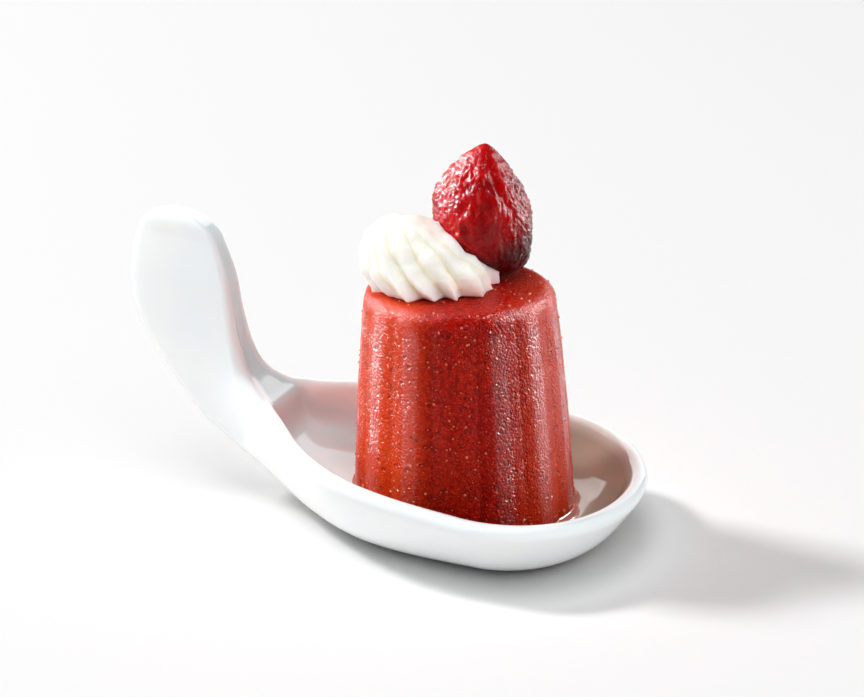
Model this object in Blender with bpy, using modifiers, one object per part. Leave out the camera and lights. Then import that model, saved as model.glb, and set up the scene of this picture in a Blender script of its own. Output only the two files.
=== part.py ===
"""Cherry water yokan served on a porcelain spoon, modelled in metres with +Z up.

The spoon lies along X, its round tip at +X and its upright handle at -X. The origin is on
the table under the middle of the spoon. Every size below is in millimetres, and distances
along the spoon are taken from the middle of the yokan.
"""

import math
from collections import namedtuple

import bmesh
import bpy
import numpy as np
from mathutils import Vector
from mathutils.bvhtree import BVHTree

MM = 0.001
GAP = 0.35  # air between pieces that touch
VIEW_TURN = 22.0  # degrees about Z from the spoon's side to the side that the toppings face

# The spoon's sections, from the widest place of the bowl to the handle. The keel is the
# underside's middle line, the rim is the bowl's lip and then the handle's inner edge.
# Depth is that of the hollow below the rim, foot and floor are half the widths that are
# flat, flare is the wall's slope under the rim, lip_turn is how far the lip rolls inwards
# and fullness is how square the outer side is.
Section = namedtuple(
    "Section",
    "keel_x keel_z rim_x rim_z half_width depth foot floor flare lip_turn fullness lip_radius",
)
SECTIONS = (
    Section(10.7, 0.0, 10.7, 16.6, 32.2, 11.0, 12.0, 11.5, 64.0, 154.0, 0.55, 1.9),
    Section(-5.0, 0.0, -5.0, 18.4, 31.9, 12.8, 11.5, 11.0, 64.0, 154.0, 0.55, 1.9),
    Section(-18.0, 0.0, -18.0, 20.0, 29.2, 12.8, 8.0, 9.0, 65.0, 154.0, 0.55, 2.0),
    Section(-30.0, 2.2, -29.0, 21.5, 22.8, 10.2, 4.0, 9.0, 67.0, 154.0, 0.56, 2.4),
    Section(-41.0, 6.8, -37.5, 23.4, 15.2, 7.6, 1.5, 6.5, 72.0, 150.0, 0.58, 3.0),
    Section(-46.0, 9.1, -41.0, 24.5, 12.1, 1.4, 1.0, 5.0, 76.0, 116.0, 0.60, 3.0),
    Section(-51.0, 11.4, -44.0, 25.7, 9.2, 0.5, 0.6, 3.0, 80.0, 102.0, 0.62, 3.0),
    Section(-61.5, 18.2, -48.6, 29.2, 6.0, 0.2, 0.3, 0.8, 88.0, 96.0, 0.68, 2.4),
    Section(-71.0, 30.0, -51.0, 34.6, 4.6, 0.6, 0.3, 0.3, 90.0, 96.0, 0.74, 1.9),
    Section(-76.6, 41.0, -52.6, 41.6, 3.9, 0.2, 0.3, 0.3, 90.0, 90.0, 0.78, 1.6),
    Section(-77.4, 50.5, -53.8, 49.4, 3.4, 0.0, 0.3, 0.3, 90.0, 90.0, 0.80, 1.4),
    Section(-75.4, 58.4, -56.2, 56.6, 2.8, 0.0, 0.3, 0.3, 90.0, 90.0, 0.80, 1.2),
)
HANDLE_TOP = (-67.0, 63.4)
HANDLE_EDGE = 3.0  # how far below its top the handle starts to round off

# The bowl's tip, whose sections fan round the widest place
TIP_X = 38.2
TIP_ROUNDNESS = 2.0  # superellipse exponent of the rim in plan
TIP_RIM_HEIGHT = 14.4
TIP_EASE = 1.25  # how fast the rim comes down to that height
TIP_FLOOR_THICKNESS = 5.6
TIP_FOOT = 11.0
TIP_FLOOR = 9.0
TIP_FLARE = 56.0

# Yokan: a fluted frustum turned out of a small mould
YOKAN_FOOT_RADIUS = 23.6
YOKAN_TOP_RADIUS = 19.6
YOKAN_BULGE = 0.6  # how far its side bows out halfway up
YOKAN_TOP_HEIGHT = 54.6  # above the table
YOKAN_EDGE_RADIUS = 2.8
YOKAN_LEAN = 1.3  # how far its top stands to the left of its foot
FLUTES = 14
FLUTE_DEPTH = 0.9
FLUTE_FADE = 0.45  # share of the depth that is lost from foot to top
FLUTE_PHASE = 18.1  # degrees from +X to a groove

# Cream: a swirl from a star nozzle, its tip left of its middle. Places on the yokan are
# to the right and towards the viewer, from the yokan's axis.
CREAM_MIDDLE = (-6.4, 0.6)
CREAM_TIP = (-13.0, -1.0)
CREAM_HALF_WIDTH = 13.4
CREAM_HALF_DEPTH = 11.2
CREAM_HEIGHT = 14.2
CREAM_TUCK = 0.10  # share by which its foot draws in under its widest ring
CREAM_RIDGES = 16
CREAM_RIDGE_DEPTH = 2.3
CREAM_TWIST = 24.0  # degrees from tip to foot
CREAM_UNEVEN = (0.5, 0.35)  # slow and quicker waves round its foot

# Cherry: a preserved cherry set point up, leaning on the cream
CHERRY_FOOT = (8.0, -7.0)
CHERRY_MIDDLE = (3.3, -6.4)
CHERRY_TIP = (3.9, -6.0)
CHERRY_BOW = 0.9  # how far its upper half bows to the left
CHERRY_RADIUS = 10.2
CHERRY_HEIGHT = 28.0
CHERRY_WIDEST = 0.43  # share of the height
CHERRY_DENT = 0.35

PORCELAIN_WHITE = (0.90, 0.90, 0.89, 1.0)
YOKAN_RED = (0.42, 0.012, 0.008, 1.0)
CREAM_WHITE = (0.93, 0.90, 0.82, 1.0)
CHERRY_RED = (0.30, 0.004, 0.006, 1.0)


def clear_scene():
    """Remove every object that the scene starts with."""
    for item in list(bpy.data.objects):
        bpy.data.objects.remove(item, do_unlink=True)


def make_collection(name):
    """Return a new collection linked to the scene."""
    collection = bpy.data.collections.new(name)
    bpy.context.scene.collection.children.link(collection)
    return collection


def make_material(name, colour, roughness, transmission=0.0):
    """Return a Principled material."""
    material = bpy.data.materials.new(name)
    material.use_nodes = True
    shader = material.node_tree.nodes["Principled BSDF"]
    shader.inputs["Base Color"].default_value = colour
    shader.inputs["Roughness"].default_value = roughness
    shader.inputs["Metallic"].default_value = 0.0
    shader.inputs["Transmission Weight"].default_value = transmission
    return material


def loft(name, rings, around, material, collection):
    """Return an object lofted through rings of millimetre points, closed round if asked."""
    columns = len(rings[0])
    verts = [tuple(float(value) * MM for value in point) for ring in rings for point in ring]
    faces = []
    for row in range(len(rings) - 1):
        for column in range(columns if around else columns - 1):
            ahead = (column + 1) % columns
            here, above = row * columns, (row + 1) * columns
            faces.append((here + column, here + ahead, above + ahead, above + column))
    mesh = bpy.data.meshes.new(name)
    mesh.from_pydata(verts, [], faces)
    shape = bmesh.new()
    shape.from_mesh(mesh)
    bmesh.ops.remove_doubles(shape, verts=shape.verts, dist=2e-6)
    bmesh.ops.dissolve_degenerate(shape, edges=shape.edges, dist=1e-6)
    bmesh.ops.recalc_face_normals(shape, faces=shape.faces)
    shape.to_mesh(mesh)
    shape.free()
    mesh.materials.append(material)
    mesh.shade_smooth()
    made = bpy.data.objects.new(name, mesh)
    collection.objects.link(made)
    return made


def spline(rows, at):
    """Return the Catmull-Rom curve through rows at a place counted in rows."""
    start = min(int(at), len(rows) - 2)
    share = at - start
    before, first, second, after = (
        np.array(rows[min(max(start + step, 0), len(rows) - 1)], float) for step in (-1, 0, 1, 2)
    )
    return 0.5 * (
        2 * first
        + (second - before) * share
        + (2 * before - 5 * first + 4 * second - after) * share**2
        + (3 * first - before - 3 * second + after) * share**3
    )


def bezier(start, near, far, end, count):
    """Return count places on a cubic Bezier curve, without its start."""
    share = np.linspace(0.0, 1.0, count + 1)[1:, None]
    rest = 1 - share
    return rest**3 * start + 3 * rest**2 * share * near + 3 * rest * share**2 * far + share**3 * end


def wall_profile(section, rise):
    """Return half a section as (out, up): foot, outer wall, lip, inner wall and floor."""
    flare, turn = math.radians(section.flare), math.radians(section.lip_turn)
    reach = section.half_width - section.lip_radius
    turns = np.linspace(flare - math.pi / 2, turn, 6)
    lip = np.column_stack(
        (
            reach + section.lip_radius * np.cos(turns),
            rise - section.lip_radius + section.lip_radius * np.sin(turns),
        )
    )
    foot = np.array((section.foot, 0.0))
    floor = np.array((min(section.floor, lip[-1][0]), rise - section.depth))
    slope = np.array((math.cos(flare), math.sin(flare)))
    outer = bezier(
        foot,
        foot + (section.fullness * (lip[0][0] - foot[0]), 0.0),
        lip[0] - slope * section.fullness * rise,
        lip[0],
        10,
    )
    leaving = np.array((-math.sin(turn), math.cos(turn)))
    run, fall = np.maximum(lip[-1] - floor, 0.0)
    pull = 0.55 * (abs(leaving[0]) * run + abs(leaving[1]) * fall)
    inner = bezier(lip[-1], lip[-1] + leaving * pull, floor + (0.55 * run, 0.0), floor, 9)
    under = [(0.0, 0.0), (0.5 * foot[0], 0.0), foot]
    over = [(0.5 * floor[0], floor[1]), (0.0, floor[1])]
    return np.vstack((under, outer, lip[1:], inner, over))


def tip_profiles(count):
    """Return the half sections that fan round from the tip to the widest place."""
    widest = SECTIONS[0]
    tip = widest._replace(
        foot=TIP_FOOT,
        floor=TIP_FLOOR,
        flare=TIP_FLARE,
        lip_turn=TIP_FLARE + 90.0,
    )
    profiles = []
    for step in range(count):
        angle = math.pi / 2 * step / count
        along = math.cos(angle) / (TIP_X - widest.rim_x)
        across = math.sin(angle) / widest.half_width
        reach = (along**TIP_ROUNDNESS + across**TIP_ROUNDNESS) ** (-1 / TIP_ROUNDNESS)
        share = math.sin(angle) ** 2
        mixed = Section(*(np.array(tip) * (1 - share) + np.array(widest) * share))
        rise = TIP_RIM_HEIGHT + (widest.rim_z - TIP_RIM_HEIGHT) * (1 - math.cos(angle)) ** TIP_EASE
        depth = rise - TIP_FLOOR_THICKNESS
        out, up = wall_profile(mixed._replace(half_width=reach, depth=depth), rise).T
        x = widest.keel_x + out * math.cos(angle)
        profiles.append(np.column_stack((x, out * math.sin(angle), up)))
    return profiles


def section_profile(section):
    """Return a section's half profile in the tilted plane of its keel and rim."""
    across, height = section.rim_x - section.keel_x, section.rim_z - section.keel_z
    rise = max(math.hypot(across, height), 1e-6)
    out, up = wall_profile(section, rise).T
    low = np.maximum(section.keel_z + up * height / rise, 0.0)
    return np.column_stack((section.keel_x + up * across / rise, out, low))


def quarter_turn(start, before, top, angle):
    """Return a place on the arc that leaves start as the curve came and is level at top."""
    tangent = start - before
    centre = top - tangent * (top[1] - start[1]) / tangent[1]
    return centre + (start - centre) * math.cos(angle) + (top - centre) * math.sin(angle)


def handle_profiles(steps, end_steps):
    """Return the half sections from the widest place to the handle's rounded top."""
    last = len(SECTIONS) - 1
    profiles = []
    for step in range(steps + 1):
        profiles.append(section_profile(Section(*spline(SECTIONS, last * step / steps))))
    end, before = SECTIONS[-1], spline(SECTIONS, last - 0.05)
    top = np.array(HANDLE_TOP)
    for step in range(1, end_steps + 1):
        angle = math.pi / 2 * step / end_steps
        keel = quarter_turn(np.array(end[0:2]), before[0:2], top, angle)
        rim = quarter_turn(np.array(end[2:4]), before[2:4], top, angle)
        drop = (top[1] - end.keel_z) * (1 - math.sin(angle))
        rounded = math.sqrt(1 - max(1 - drop / HANDLE_EDGE, 0.0) ** 2)
        narrowed = end._replace(
            half_width=end.half_width * rounded,
            foot=end.foot * math.cos(angle),
            floor=end.floor * math.cos(angle),
            lip_radius=end.lip_radius * rounded,
        )
        profiles.append(section_profile(Section(*keel, *rim, *narrowed[4:])))
    return profiles


def build_spoon(collection):
    """Build half the spoon as a loft of unlike sections and mirror it."""
    profiles = tip_profiles(14) + handle_profiles(38, 8)
    finish = make_material("glazed porcelain", PORCELAIN_WHITE, 0.12)
    spoon = loft("spoon", profiles, False, finish, collection)
    mirror = spoon.modifiers.new("other half", "MIRROR")
    mirror.use_axis = (False, True, False)
    mirror.merge_threshold = 1e-6
    return spoon


def view_point(right, near):
    """Turn (right, towards the viewer) into (x, y) from the yokan's axis."""
    turn = math.radians(VIEW_TURN)
    return np.array(
        (
            right * math.cos(turn) + near * math.sin(turn),
            right * math.sin(turn) - near * math.cos(turn),
        )
    )


def flute_radius(radius, angle, share):
    """Return a radius with its flutes, share being how much of their depth shows."""
    wave = abs(math.sin(FLUTES / 2 * (angle - math.radians(FLUTE_PHASE))))
    return radius - share * FLUTE_DEPTH * (1 - wave**0.8)


def yokan_side(angle, height, inward=0.0, fade=1.0):
    """Return a point of the yokan's side, drawn inward and its flutes faded if asked."""
    share = height / YOKAN_TOP_HEIGHT
    radius = YOKAN_FOOT_RADIUS + (YOKAN_TOP_RADIUS - YOKAN_FOOT_RADIUS) * share - inward
    radius += YOKAN_BULGE * math.sin(math.pi * share)
    radius = flute_radius(radius, angle, fade * (1 - FLUTE_FADE * share))
    lean = view_point(-YOKAN_LEAN, 0.0) * share
    return (lean[0] + radius * math.cos(angle), lean[1] + radius * math.sin(angle), height)


def build_yokan(collection, spoon):
    """Build the fluted yokan, its foot following the bowl that it stands in."""
    columns = FLUTES * 6
    angles = [2 * math.pi * column / columns for column in range(columns)]
    bowl = BVHTree.FromObject(spoon, bpy.context.evaluated_depsgraph_get())

    def on_bowl(x, y):
        """Return the point just above the bowl's floor."""
        start = Vector((x * MM, y * MM, YOKAN_TOP_HEIGHT * MM))
        hit = bowl.ray_cast(start, Vector((0.0, 0.0, -1.0)))[0]
        return (x, y, hit.z / MM + GAP)

    rings = []
    for share in (0.0, 0.3, 0.6, 0.85, 1.0):
        edge = [yokan_side(angle, 0.0) for angle in angles]
        rings.append([on_bowl(x * share, y * share) for x, y, _ in edge])
    foot = [point[2] for point in rings[-1]]
    shoulder = YOKAN_TOP_HEIGHT - YOKAN_EDGE_RADIUS
    for share in (0.2, 0.4, 0.6, 0.8, 1.0):
        rings.append(
            [yokan_side(angle, low + (shoulder - low) * share) for angle, low in zip(angles, foot)]
        )
    for degrees in (22.5, 45.0, 67.5, 90.0):
        turn = math.radians(degrees)
        inward = YOKAN_EDGE_RADIUS * (1 - math.cos(turn))
        height = shoulder + YOKAN_EDGE_RADIUS * math.sin(turn)
        rings.append([yokan_side(angle, height, inward, 1 - math.sin(turn)) for angle in angles])
    for share in (0.5, 0.0):
        centre = np.array(view_point(-YOKAN_LEAN, 0.0))
        flat = (YOKAN_TOP_RADIUS - YOKAN_EDGE_RADIUS) * share
        rings.append(
            [(*(centre + flat * np.array((math.cos(a), math.sin(a)))), YOKAN_TOP_HEIGHT) for a in angles]
        )
    return loft("yokan", rings, True, make_material("agar jelly", YOKAN_RED, 0.15, 0.4), collection)


def cream_point(angle, fall):
    """Return a point of the swirl: angle round it, fall from 0 at its tip to 1 at its foot."""
    height = math.cos(math.pi / 2 * fall)
    spread = math.sin(math.pi / 2 * fall) ** 0.92
    middle = np.array(CREAM_MIDDLE)
    axis = middle + (np.array(CREAM_TIP) - middle) * height
    tuck = 1.0 - CREAM_TUCK * max((fall - 0.82) / 0.18, 0.0)
    phase = CREAM_RIDGES * (angle + math.radians(CREAM_TWIST) * fall)
    ridge = abs(math.cos(phase / 2)) ** 0.9 - 0.6
    slow, quick = CREAM_UNEVEN
    uneven = slow * math.sin(3 * angle + 0.7) + quick * math.sin(5 * angle + 2.1 + 2 * fall)
    relief = CREAM_RIDGE_DEPTH * (0.25 + 0.75 * fall) * ridge + uneven * fall
    right = axis[0] + math.cos(angle) * spread * (CREAM_HALF_WIDTH * tuck + relief)
    near = axis[1] + math.sin(angle) * spread * (CREAM_HALF_DEPTH * tuck + relief)
    return (*view_point(right, near), YOKAN_TOP_HEIGHT + GAP + CREAM_HEIGHT * height)


def build_cream(collection):
    """Build the ridged swirl of cream."""
    columns = CREAM_RIDGES * 6
    angles = [2 * math.pi * column / columns for column in range(columns)]
    falls = (0.0, 0.1, 0.2, 0.32, 0.44, 0.56, 0.67, 0.77, 0.86, 0.93, 1.0)
    rings = [[cream_point(angle, fall) for angle in angles] for fall in falls]
    rings.append([(*view_point(*CREAM_MIDDLE), YOKAN_TOP_HEIGHT + GAP)] * columns)
    return loft("cream", rings, True, make_material("whipped cream", CREAM_WHITE, 0.55), collection)


def cherry_point(angle, share, grow):
    """Return a point of the cherry at a share of its height, swollen by grow."""
    upper = share > CHERRY_WIDEST
    offset = (share - CHERRY_WIDEST) / (1 - CHERRY_WIDEST if upper else CHERRY_WIDEST)
    radius = CHERRY_RADIUS * max(1 - offset**2, 0.0) ** (0.95 if upper else 0.5)
    dents = math.sin(3 * angle + 5 * share) + 0.8 * math.sin(5 * angle - 7 * share + 1.3)
    radius = max(radius + CHERRY_DENT * dents * math.sin(math.pi * share) + grow, 0.0)
    middle = np.array(CHERRY_MIDDLE)
    axis = middle + (np.array(CHERRY_FOOT) - middle) * min(offset, 0.0) ** 2
    axis = axis + (np.array(CHERRY_TIP) - middle) * max(offset, 0.0)
    right = axis[0] - CHERRY_BOW * math.sin(math.pi * max(offset, 0.0)) + radius * math.cos(angle)
    near = axis[1] + radius * math.sin(angle)
    height = CHERRY_HEIGHT * share + grow * (2 * share - 1)
    return (*view_point(right, near), YOKAN_TOP_HEIGHT + GAP + height)


def cherry_rings(grow):
    """Return the cherry's points ring by ring, closer together at its ends."""
    columns, rows = 32, 18
    angles = [2 * math.pi * column / columns for column in range(columns)]
    rings = []
    for row in range(rows + 1):
        share = (1 - math.cos(math.pi * row / rows)) / 2
        swell = grow if 0 < row < rows else 0.0
        rings.append([cherry_point(angle, share, swell) for angle in angles])
    return rings


def build_cherry(collection, cutters, cream):
    """Build the cherry and press its place into the cream."""
    finish = make_material("preserved cherry", CHERRY_RED, 0.2)
    cherry = loft("cherry", cherry_rings(0.0), True, finish, collection)
    hollow = loft("cherry_hollow", cherry_rings(GAP), True, finish, cutters)
    hollow.hide_render = True
    hollow.display_type = "WIRE"
    press = cream.modifiers.new("cherry pressed in", "BOOLEAN")
    press.operation = "DIFFERENCE"
    press.object = hollow
    return cherry


def main():
    """Build the serving and put its origin under the middle of the spoon."""
    clear_scene()
    pieces = make_collection("cherry water yokan")
    cutters = make_collection("cutters")
    spoon = build_spoon(pieces)
    build_yokan(pieces, spoon)
    cream = build_cream(pieces)
    build_cherry(pieces, cutters, cream)
    reach = [vertex.co.x for vertex in spoon.data.vertices]
    for item in list(pieces.objects) + list(cutters.objects):
        item.location.x = -(min(reach) + max(reach)) / 2


if __name__ == "__main__":
    main()
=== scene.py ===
"""Cherry water yokan on a porcelain spoon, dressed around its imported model.

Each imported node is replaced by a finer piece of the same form. Sizes in the classes are
millimetres and angles degrees, and distances along the spoon are taken from the yokan's axis.
Meshes are written in metres.
"""

import logging
import math
from collections.abc import Callable
from dataclasses import astuple, dataclass, replace
from enum import Enum
from functools import partial

import bmesh
import bpy
import numpy as np
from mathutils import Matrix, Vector, noise
from mathutils.bvhtree import BVHTree


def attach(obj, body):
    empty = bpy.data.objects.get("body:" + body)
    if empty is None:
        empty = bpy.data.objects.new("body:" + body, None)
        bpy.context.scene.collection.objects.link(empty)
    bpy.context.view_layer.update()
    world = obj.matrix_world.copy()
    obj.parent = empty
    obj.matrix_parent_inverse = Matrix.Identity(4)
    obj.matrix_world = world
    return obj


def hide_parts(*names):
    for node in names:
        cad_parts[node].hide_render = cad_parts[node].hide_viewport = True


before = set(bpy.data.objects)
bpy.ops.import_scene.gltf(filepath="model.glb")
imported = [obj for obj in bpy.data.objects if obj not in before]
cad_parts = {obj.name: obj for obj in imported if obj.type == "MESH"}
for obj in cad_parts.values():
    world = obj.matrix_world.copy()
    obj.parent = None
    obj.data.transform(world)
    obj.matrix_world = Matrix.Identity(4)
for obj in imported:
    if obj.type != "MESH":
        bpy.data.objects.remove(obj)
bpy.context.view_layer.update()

Array = np.ndarray
Material = bpy.types.Material
Node = bpy.types.Node
Piece = bpy.types.Object
Tree = bpy.types.NodeTree

LOG = logging.getLogger("cherry_water_yokan")
BODY = "root"
MM = 0.001
GAP = 0.35  # the air between pieces that touch
YOKAN_AXIS = 19.64  # from the middle of the spoon to the yokan's axis
YOKAN_TOP = 54.6  # above the table
VIEW_TURN = 22.0  # about Z from the spoon's side to the side that is photographed
VIEW_RISE = 21.0  # how far the camera looks down
TINY = 1e-6  # the least length that anything is divided by
DROP_FROM = 0.05  # metres above the table, over the bowl's rim
QUARTER = math.pi / 2
ROUND = 2 * math.pi

SMOOTH = {"interpolation_type": "SMOOTHSTEP"}  # for a node that stretches a value
COLOURS = {"data_type": "RGBA"}  # for a node that mixes

# The pieces that a lamp can be kept to
JELLY_PIECES = ("fluted_yokan", "yokan_bubbles", "juice_at_foot")
PORCELAIN_PIECES = ("porcelain_spoon",)
CHERRY_PIECES = ("preserved_cherry",)
CREAM_PIECES = ("cream_swirl",)
FOOD = JELLY_PIECES + CHERRY_PIECES + CREAM_PIECES
SERVING = FOOD + PORCELAIN_PIECES


class Slot(Enum):
    """The record's material slots."""

    PORCELAIN = "porcelain"
    JELLY = "agar_jelly"
    CREAM = "whipped_cream"
    CHERRY = "preserved_cherry"


class Part(Enum):
    """What a lamp takes part in."""

    LIGHT = "light alone"
    GLOSS = "gloss alone"


# Materials


def linear(colour: str) -> tuple[float, float, float, float]:
    """Turn an sRGB hex colour to linear.

    Args:
        colour: Six hex digits with a leading hash.

    Returns:
        Red, green, blue and alpha.
    """
    shares = [int(colour[start : start + 2], 16) / 255 for start in (1, 3, 5)]
    red, green, blue = (c / 12.92 if c <= 0.04045 else ((c + 0.055) / 1.055) ** 2.4 for c in shares)
    return red, green, blue, 1.0


def feed(tree: Tree, node: Node, inputs: dict | tuple) -> None:
    """Set or link a node's inputs.

    Args:
        tree: The tree that it is in.
        node: The node.
        inputs: For each input, by name or in order, a value, a hex colour, the socket that
            feeds it, or the node whose first open output does.
    """
    for name, value in inputs.items() if isinstance(inputs, dict) else enumerate(inputs):
        if isinstance(value, Node):
            value = next(socket for socket in value.outputs if socket.enabled)
        if isinstance(value, bpy.types.NodeSocket):
            tree.links.new(value, node.inputs[name])
        else:
            node.inputs[name].default_value = linear(value) if isinstance(value, str) else value


def add_node(tree: Tree, kind: str, settings: dict | None = None,
             inputs: dict | tuple = ()) -> Node:
    """Add a node with its settings, its values and its links.

    Args:
        tree: The tree that it goes into.
        kind: Its type's identifier, from which the tree's own prefix may be left off.
        settings: Its properties.
        inputs: What goes into it, as feed takes it.

    Returns:
        The node.
    """
    prefix = "" if "Node" in kind else tree.bl_idname.removesuffix("Tree")
    node = tree.nodes.new(prefix + kind)
    for name, value in (settings or {}).items():
        setattr(node, name, value)
    feed(tree, node, inputs)
    return node


def new_material(name: str) -> tuple[Material, Callable]:
    """Start a node material.

    Args:
        name: Its name.

    Returns:
        The material, and add_node for its tree.
    """
    material = bpy.data.materials.new(name)
    material.use_nodes = True
    return material, partial(add_node, material.node_tree)


def finished(material: Material, inputs: dict) -> Material:
    """Set a material's Principled shader.

    Args:
        material: The material.
        inputs: What goes into the shader, as feed takes it.

    Returns:
        The same material.
    """
    feed(material.node_tree, material.node_tree.nodes["Principled BSDF"], inputs)
    return material


def millimetres(add: Callable) -> Node:
    """Give the piece's own coordinates in millimetres.

    Args:
        add: Adds a node to the material.

    Returns:
        The node that gives them.
    """
    place = add("TexCoord").outputs["Object"]
    return add("VectorMath", {"operation": "SCALE"}, {0: place, "Scale": 1 / MM})


# Shapes


def ramp(value: Array, start: float, over: float) -> Array:
    """Rise from 0 at the start to 1 after so much more."""
    return np.clip((value - start) / over, 0.0, 1.0)


def circle(count: int) -> Array:
    """Give evenly spaced angles all round, in radians."""
    return np.linspace(0.0, ROUND, count, endpoint=False)


def turned_from(angle: Array, course: Array | float) -> Array:
    """Say how far angles are turned from a course, from minus to plus half a turn."""
    return (angle - course + math.pi) % ROUND - math.pi


def unit(vectors: Array) -> Array:
    """Make vectors one long, but leave those of no length."""
    return vectors / np.maximum(np.linalg.norm(vectors, axis=1, keepdims=True), TINY)


def with_waves(base: Array | float, waves: tuple, angle: Array, share: float) -> Array:
    """Add sine waves to a value.

    Args:
        base: The value.
        waves: For each wave its height, how often it comes round the piece, how far it is
            shifted from end to end, and its start, both in radians.
        angle: Angles round the piece, in radians.
        share: How far along the piece, from 0 to 1.

    Returns:
        The sum.
    """
    return sum((height * np.sin(often * angle + shifted * share + start)
                for height, often, shifted, start in waves), base)


def view_point(right: Array | float, near: Array | float) -> tuple:
    """Turn a place on the yokan as photographed into one along and across the spoon.

    Args:
        right: Distance to the right of the yokan's axis.
        near: Distance from it towards the viewer.

    Returns:
        The place along the spoon and across it.
    """
    turn = math.radians(VIEW_TURN)
    return (right * math.cos(turn) + near * math.sin(turn),
            right * math.sin(turn) - near * math.cos(turn))


def spline(rows: Array, at: float) -> Array:
    """Read a Catmull-Rom curve.

    Args:
        rows: The points that it passes through.
        at: The place, counted in rows.

    Returns:
        The point there.
    """
    start = min(int(at), len(rows) - 2)
    share = at - start
    before, first, second, after = (
        rows[min(max(start + step, 0), len(rows) - 1)] for step in (-1, 0, 1, 2))
    return 0.5 * (2 * first + (second - before) * share
                  + (2 * before - 5 * first + 4 * second - after) * share**2
                  + (3 * first - before - 3 * second + after) * share**3)


def bezier(start: Array, near: Array, far: Array, end: Array, count: int) -> Array:
    """Read a cubic Bezier curve.

    Args:
        start: Its start.
        near: Its first handle.
        far: Its second handle.
        end: Its end.
        count: How many places are read.

    Returns:
        The places, without the start.
    """
    share = np.linspace(0.0, 1.0, count + 1)[1:, None]
    rest = 1 - share
    return rest**3 * start + 3 * rest**2 * share * near + 3 * rest * share**2 * far + share**3 * end


def roughness_at(points: Array, size: float, octaves: int, seed: float) -> Array:
    """Read smooth noise at many points.

    Args:
        points: The points, in millimetres.
        size: How many millimetres a bump takes.
        octaves: How many finer layers are added.
        seed: Moves the pattern.

    Returns:
        A value from about -1 to 1 for each point.
    """
    shift = Vector((seed * 13.7, seed * 7.1, seed * 3.3))
    return np.array([noise.fractal(Vector(point) / size + shift, 1.0, 2.0, octaves,
                                   noise_basis="PERLIN_NEW") for point in points])


def drop_onto(bowl: BVHTree, points: Array) -> Array:
    """Drop points onto the bowl.

    Args:
        bowl: The bowl's faces.
        points: The points.

    Returns:
        The points at the bowl's height.
    """
    dropped = points.copy()
    for point in dropped:
        above = Vector(((point[0] + YOKAN_AXIS) * MM, point[1] * MM, DROP_FROM))
        point[2] = bowl.ray_cast(above, Vector((0.0, 0.0, -1.0)))[0].z / MM
    return dropped


def loft(name: str, rings: Array, material: Material, marks: dict[str, Array] | None = None,
         weld: float = 2e-6, thinnest: float = 1e-7) -> Piece:
    """Make a closed smooth piece from closed rings of points.

    Args:
        name: The piece's name.
        rings: The points in millimetres from the yokan's axis, ring by ring.
        material: Its finish.
        marks: Attributes that the finish reads, with a value for each point.
        weld: Points this near in metres are made one.
        thinnest: Edges and faces thinner than this in metres are dropped.

    Returns:
        The piece.
    """
    rows, columns = rings.shape[:2]
    points = rings.reshape(-1, 3) + (YOKAN_AXIS, 0.0, 0.0)
    faces = []
    for here in range(0, (rows - 1) * columns, columns):
        above = here + columns
        for column in range(columns):
            ahead = (column + 1) % columns
            faces.append((here + column, here + ahead, above + ahead, above + column))
    mesh = bpy.data.meshes.new(name)
    mesh.from_pydata((points * MM).tolist(), [], faces)
    for attribute, values in (marks or {}).items():
        layer = mesh.attributes.new(attribute, "FLOAT", "POINT")
        layer.data.foreach_set("value", values.ravel())
    shape = bmesh.new()
    shape.from_mesh(mesh)
    bmesh.ops.remove_doubles(shape, verts=shape.verts, dist=weld)
    bmesh.ops.dissolve_degenerate(shape, edges=shape.edges, dist=thinnest)
    bmesh.ops.recalc_face_normals(shape, faces=shape.faces)
    shape.to_mesh(mesh)
    shape.free()
    mesh.materials.append(material)
    mesh.shade_smooth()
    piece = bpy.data.objects.new(name, mesh)
    bpy.context.scene.collection.objects.link(piece)
    return piece


def settle(piece: Piece) -> None:
    """Turn a piece's modifiers into plain mesh.

    Args:
        piece: The piece, which keeps no modifier.
    """
    graph = bpy.context.evaluated_depsgraph_get()
    mesh = bpy.data.meshes.new_from_object(piece.evaluated_get(graph), depsgraph=graph)
    piece.modifiers.clear()
    piece.data = mesh


# Finishes


@dataclass(frozen=True)
class GlazedPorcelain:
    """White hard-paste porcelain, fired under a clear glaze.

    The glaze gives sharp reflections that waver slightly where it ran, and the body under it
    is a neutral white. Inside the bowl it is painted a little cooler, to offset the red light
    that the jelly throws there, and on the inside of the bowl's right part it is painted
    browner, partly for juice and partly as painted shade from the jelly's shadow and red light.
    """

    body: str = "#f8f8f6"
    thick: str = "#f3f5f6"
    pooled: str = "#daebec"
    juice_and_shade_brown: str = "#989080"
    roughness: float = 0.07
    ior: float = 1.52

    def make(self) -> Material:
        """Make the material.

        Returns:
            The material.
        """
        material, add = new_material("glazed porcelain")
        place = millimetres(add)
        # Glaze runs in patches of about 20 mm.
        patches = add("TexNoise", None, {"Vector": place, "Scale": 0.05, "Detail": 2.0})
        white = add("Mix", COLOURS, {0: add("MapRange", SMOOTH, (patches, 0.35, 0.65)),
                                     6: self.body, 7: self.thick})
        # The pooled attribute is 1 inside the bowl, where a cool tint is painted to offset
        # the jelly's red light, and the wet attribute is 1 on the inside of its right part, where
        # brown is painted, partly for juice and partly as painted shade.
        for mark, tint in (("pooled", self.pooled), ("wet", self.juice_and_shade_brown)):
            share = add("Attribute", {"attribute_name": mark}).outputs["Fac"]
            white = add("Mix", COLOURS, {0: share, 6: white, 7: tint})
        # Orange peel of about 6 mm.
        peel = add("TexNoise", None, {"Vector": place, "Scale": 0.16, "Detail": 1.0})
        bump = add("Bump", None, {"Strength": 0.25, "Distance": 0.0002, "Height": peel})
        return finished(material, {"Base Color": white, "Normal": bump,
                                   "Roughness": self.roughness, "IOR": self.ior})


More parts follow.
